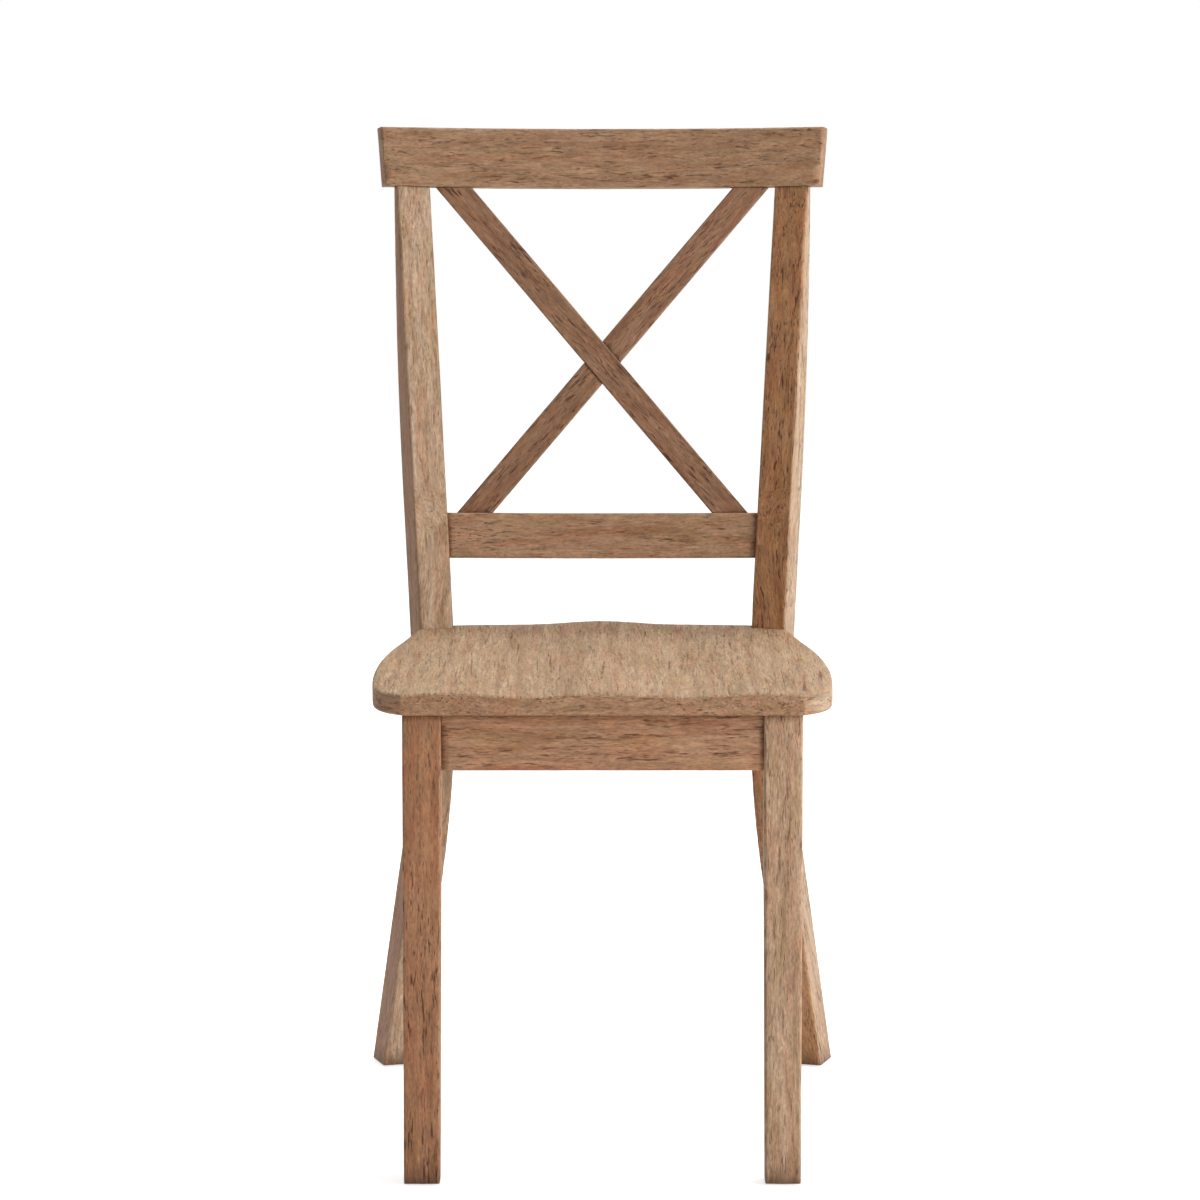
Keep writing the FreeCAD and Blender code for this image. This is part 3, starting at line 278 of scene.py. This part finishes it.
def leg_middle(piece, count=24):
    """Middle of a back leg in x and y at evenly spaced heights, lowest first."""
    low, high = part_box(piece)
    rows = [[] for level in range(count)]
    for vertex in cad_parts[piece].data.vertices:
        level = int((vertex.co.z - low.z) / (high.z - low.z) * (count - 1) + 0.5)
        rows[level].append(vertex.co)
    middles = []
    for level, row in enumerate(rows):
        if row:
            x = (min(p.x for p in row) + max(p.x for p in row)) / 2
            y = (min(p.y for p in row) + max(p.y for p in row)) / 2
            middles.append((low.z + (high.z - low.z) * level / (count - 1), x, y))
    return middles


def along_leg(piece):
    """Grain that runs with the bend of a back leg."""
    middles = leg_middle(piece)

    def grain(point, normal):
        lower = max([m for m in middles if m[0] <= point.z] or middles[:1])
        upper = min([m for m in middles if m[0] > point.z] or middles[-1:])
        share = (point.z - lower[0]) / (upper[0] - lower[0]) if upper[0] > lower[0] else 0.0
        x = lower[1] + (upper[1] - lower[1]) * share
        y = lower[2] + (upper[2] - lower[2]) * share
        return (point.z, point.x - x, point.y - y)

    return grain


for number, (name, (tone, painted_flank)) in enumerate(BACK_LEG_LIT_AND_SHADED_TONES.items()):
    node = f"back_leg_{name}"
    # The flank tone is painted shade on the left leg's sides and painted light on the right leg's sides.
    finish = stained_rubberwood(
        f"stained_rubberwood_back_leg_{name}", tone, seed=31.0 + 11 * number, painted_flanks=(painted_flank, painted_flank),
        depth=BACK_LEG_FIGURE[name], shaded_foot_up_to=FOOT_SHADE_HEIGHT)
    hand_worn(node, finish, along_leg(node))


# Aprons: four planed rubberwood boards on edge under the seat, doweled between the legs and set
# back a little from their faces. Their grain runs with their length.
APRON_TONE = "#a98060"


def sideways(point, normal):
    """Grain that runs from side to side, on boards that stand on edge."""
    return (point.x, point.z, point.y)


def front_to_back(point, normal):
    """Grain that runs from front to back, on boards that stand on edge."""
    return (point.y, point.z, point.x)


APRONS = (
    ("front_apron", sideways),
    ("rear_apron", sideways),
    ("side_apron_left", front_to_back),
    ("side_apron_right", front_to_back),
)
for number, (node, grain) in enumerate(APRONS):
    finish = stained_rubberwood(f"stained_rubberwood_{node}", APRON_TONE, seed=61.0 + 7 * number)
    hand_worn(node, finish, grain)


# Dowels: turned beech pins, 8 mm thick and 34 mm long, two at each end of an apron. They are glued
# into legs and aprons and hidden once the frame is together.
def bare_wood(name, tones, seed):
    """Planed wood with no stain: pale, with fine short flecks and a dry surface."""
    material, tree, shader = new_material(name)
    place = add(tree, "TexCoord", output="Object")
    figure = streaks(tree, place, 60, 9, seed, 0.35, 0.68, 0.0, 1.0, 3.0)
    colours = {0: figure, 6: linear(tones[0]), 7: linear(tones[1])}
    colour = add(tree, "Mix", colours, 2, data_type="RGBA")
    flecks = streaks(tree, place, 6, 0.8, seed + 5, 0.3, 0.7, 0.88, 1.1, 2.0, 0.0)
    colour = add(tree, "Mix", {0: 1.0, 6: colour, 7: flecks}, 2, data_type="RGBA", blend_type="MULTIPLY")
    bumps = add(tree, "Bump", {"Height": flecks, "Strength": 0.4, "Distance": 0.8 * MM})
    tree.links.new(colour, shader.inputs["Base Color"])
    tree.links.new(bumps, shader.inputs["Normal"])
    shader.inputs["Roughness"].default_value = 0.75
    shader.inputs["IOR"].default_value = WOOD_IOR
    return material


def refinish(node, finish):
    """Gives a CAD node that stays a better material."""
    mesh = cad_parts[node].data
    mesh.materials.clear()
    mesh.materials.append(finish)


turned_beech = bare_wood("turned_beech", ("#d6bd95", "#c4a579"), seed=5.0)
for node in ("front_apron_dowels", "rear_apron_dowels", "side_apron_dowels_left", "side_apron_dowels_right"):
    refinish(node, turned_beech)


# Crest rail: one wide plank bowed around the sitter's back, its ends sawn a little out of square,
# mortised on the posts and the slats.
CREST_TONE = "#9c795b"

finish = stained_rubberwood("stained_rubberwood_crest_rail", CREST_TONE, seed=91.0)
hand_worn("crest_rail", finish, sideways)


# Lower back rail: a plank of the same thickness and bow as the crest rail, but narrower. It is
# tenoned between the posts above the seat.
LOWER_RAIL_TONE = "#a58264"

finish = stained_rubberwood("stained_rubberwood_lower_back_rail", LOWER_RAIL_TONE, seed=103.0)
hand_worn("lower_back_rail", finish, sideways)


# Slats of the cross: two flat strips of rubberwood, half-lapped where they cross and tenoned into
# both rails. They are darker than the rails, with stronger marks.
SLAT_TONE = "#8b664a"


def slanted(node):
    """Grain along a slat, from its lower end to its upper end."""
    low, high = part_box(node)
    falls_right = 1 if node.endswith("front") else -1
    run = Vector((-falls_right * (high.x - low.x), 0.0, high.z - low.z)).normalized()
    across = Vector((run.z, 0.0, -run.x))

    def grain(point, normal):
        return (point.dot(run), point.dot(across), point.y)

    return grain


for number, node in enumerate(("cross_slat_front", "cross_slat_rear")):
    finish = stained_rubberwood(
        f"stained_rubberwood_{node}", SLAT_TONE, seed=117.0 + 9 * number, long=1.6, depth=1.3)
    hand_worn(node, finish, slanted(node), spacing=6 * MM)


# Corner blocks: triangles of plain hardwood, planed and left bare, glued and screwed in the corners
# of the seat frame under the board.
planed_block_wood = bare_wood("planed_hardwood", ("#b3946f", "#9b7a55"), seed=17.0)
for end in ("front", "rear"):
    for name in ("left", "right"):
        refinish(f"corner_block_{end}_{name}", planed_block_wood)


# Screws: wood screws of zinc-plated steel, two in each corner block. One goes through it into the
# leg and one goes up through it into the seat board.
def zinc_plate(name, seed):
    """Bright zinc with a yellowish passivated cast that varies, and fine marks from tumbling."""
    material, tree, shader = new_material(name)
    place = add(tree, "TexCoord", output="Object")
    cast = streaks(tree, place, 5, 5, seed, 0.35, 0.65, 0.0, 1.0, 3.0)
    colour = add(tree, "Mix", {0: cast, 6: linear("#b9b3a3"), 7: linear("#c6b98f")}, 2, data_type="RGBA")
    rough = streaks(tree, place, 1.2, 0.6, seed + 3, 0.3, 0.7, 0.28, 0.46, 3.0)
    tree.links.new(colour, shader.inputs["Base Color"])
    tree.links.new(rough, shader.inputs["Roughness"])
    shader.inputs["Metallic"].default_value = 1.0
    return material


zinc = zinc_plate("zinc_plated_steel", seed=2.0)
refinish("corner_block_screws", zinc)
refinish("seat_screws", zinc)


# Seat: one thick board of rubberwood, scooped by a cutter into two hollows with a ridge between
# them, fitted around the posts. The top is paler than the frame and its rim darker: the top's tone
# is partly its own and partly painted sheen and light from above. The rim's ends are painted light
# and shade: the end turned to the lamp on the right is paler, the end turned away darker.
SEAT_TOP_TONE_AND_SHEEN = "#ab8d6c"
SEAT_RIM_TONE = "#a37e5f"
SEAT_END_SHADE_AND_LIGHT_TONES = ("#987251", "#ab957b")
SEAT_MIDDLE = Vector((0.0, -0.1))
RIM_REACH = 200 * MM


def seat_grain(point, normal):
    """Over the top and underside the grain runs to the back. On the rim it runs along the edge, which
    is about RIM_REACH from the middle of the seat."""
    if abs(normal.z) > 0.5:
        return (point.y, point.x, point.z)
    out = point.xy - SEAT_MIDDLE
    return (math.atan2(out.x, -out.y) * RIM_REACH, point.z, out.length)


seat_top = stained_rubberwood(
    "stained_rubberwood_seat_top", SEAT_TOP_TONE_AND_SHEEN, seed=131.0, long=2.0, wide=1.1, depth=0.4,
    checks=0.8, relief=1.2)
# The rim's end tones are painted shade on the left end and painted light on the right end.
seat_rim = stained_rubberwood(
    "stained_rubberwood_seat_rim", SEAT_RIM_TONE, seed=143.0, painted_flanks=SEAT_END_SHADE_AND_LIGHT_TONES, checks=0.6)
seat = hand_worn("seat", seat_top, seat_grain, unevenness=0.35 * MM)
# Faces turned up take the top's tone with its painted sheen; all others take the rim's tone.
seat.data.materials.append(seat_rim)
for face in seat.data.polygons:
    if face.normal.z < 0.5:
        face.material_index = 1


# Foot glides: moulded nylon buttons 20 mm across, each nailed under a foot, so that the end grain
# of the legs stays off the floor.
def moulded_nylon(name, seed):
    """Dark nylon, scuffed grey where it slides on the floor."""
    material, tree, shader = new_material(name)
    place = add(tree, "TexCoord", output="Object")
    scuffs = streaks(tree, place, 7, 0.8, seed, 0.5, 0.66, 0.0, 0.4, 3.0)
    colour = add(tree, "Mix", {0: scuffs, 6: linear("#2f2a26"), 7: linear("#6b645c")}, 2, data_type="RGBA")
    rough = add(tree, "MapRange", {"Value": scuffs, "From Max": 0.4, "To Min": 0.45, "To Max": 0.7})
    tree.links.new(colour, shader.inputs["Base Color"])
    tree.links.new(rough, shader.inputs["Roughness"])
    shader.inputs["IOR"].default_value = 1.53
    return material


nylon = moulded_nylon("moulded_nylon", seed=8.0)
for end in ("front", "back"):
    for name in ("left", "right"):
        refinish(f"foot_glide_{end}_{name}", nylon)


# Floor: a plain white sheet of studio paper that runs under the chair and out of view. It takes the
# soft shadow, and glows enough for the camera to see it white.
FLOOR_SIDE = 12.0
FLOOR_GLOW = 0.66

floor_mesh = bpy.data.meshes.new("studio_floor")
half = FLOOR_SIDE / 2
corners = [(-half, -half, 0.0), (half, -half, 0.0), (half, half, 0.0), (-half, half, 0.0)]
floor_mesh.from_pydata(corners, [], [(0, 1, 2, 3)])
floor = bpy.data.objects.new("studio_floor", floor_mesh)
bpy.context.scene.collection.objects.link(floor)
paper, tree, shader = new_material("white_studio_paper")
fine = add(tree, "TexNoise", {"Scale": 900.0, "Detail": 2.0})
shade = add(tree, "MapRange", {"Value": fine, "To Min": 0.88, "To Max": 0.92})
tree.links.new(shade, shader.inputs["Base Color"])
shader.inputs["Roughness"].default_value = 0.9


def seen_directly(tree):
    """1 for rays from the camera and for mirrored and refracted ones, 0 for light on the object."""
    path = add(tree, "LightPath").node.outputs
    seen = add(tree, "Math", {0: path["Is Camera Ray"], 1: path["Is Glossy Ray"]}, operation="MAXIMUM")
    return add(tree, "Math", {0: seen, 1: path["Is Transmission Ray"]}, operation="MAXIMUM")


strength = add(tree, "Math", {0: seen_directly(tree), 1: FLOOR_GLOW}, operation="MULTIPLY")
lift = add(tree, "Emission", {"Color": linear("#ffffff"), "Strength": strength})
lifted = add(tree, "AddShader", {0: shader.outputs["BSDF"], 1: lift})
tree.links.new(lifted, tree.nodes["Material Output"].inputs["Surface"])
floor_mesh.materials.append(paper)

# Light: one wide soft lamp to the right and in front, one over the chair and a little behind it, and
# an even grey surround, which the camera sees white.
SURROUND = 0.35
world = bpy.data.worlds.new("studio_surround")
bpy.context.scene.world = world
world.use_nodes = True
tree = world.node_tree
tree.nodes.clear()
surround = add(tree, "Background", {"Color": linear("#ffffff"), "Strength": SURROUND})
white = add(tree, "Background", {"Color": linear("#ffffff"), "Strength": 1.0})
both = add(tree, "MixShader", {0: seen_directly(tree), 1: surround, 2: white})
add(tree, "OutputWorld", {"Surface": both})

AIM = Vector((0.0, 0.0, 0.5))


def soft_lamp(name, place, width, height, power):
    """A white rectangular lamp, sides in metres and power in watts, turned to the middle of the chair."""
    data = bpy.data.lights.new(name, "AREA")
    data.shape = "RECTANGLE"
    data.size = width
    data.size_y = height
    data.energy = power
    lamp = bpy.data.objects.new(name, data)
    lamp.location = place
    lamp.rotation_euler = (AIM - place).to_track_quat("-Z", "Y").to_euler()
    bpy.context.scene.collection.objects.link(lamp)


soft_lamp("key_lamp", Vector((3.4, -1.8, 1.1)), width=2.4, height=1.8, power=135.0)
soft_lamp("high_lamp", Vector((0.6, 1.0, 3.9)), width=2.4, height=2.0, power=112.0)

# Camera: level with the chair's middle line, about 5.5 m in front, and a long lens as for a catalogue
# picture, tipped down a little. Width of the frame is 1200 pixels.
FOCAL_PIXELS = 5781.7
FRAME_PIXELS = 1200
PITCH = math.radians(7.878)
EYE = (-2.3 * MM, -5.4675, 1.2641)

view = bpy.data.cameras.new("camera")
view.sensor_width = 36.0
view.lens = FOCAL_PIXELS / FRAME_PIXELS * view.sensor_width
view.clip_end = 50.0
camera = bpy.data.objects.new("camera", view)
camera.location = EYE
camera.rotation_euler = (math.pi / 2 - PITCH, 0.0, 0.0)
bpy.context.scene.collection.objects.link(camera)
bpy.context.scene.camera = camera
bpy.context.scene.view_settings.view_transform = "Standard"
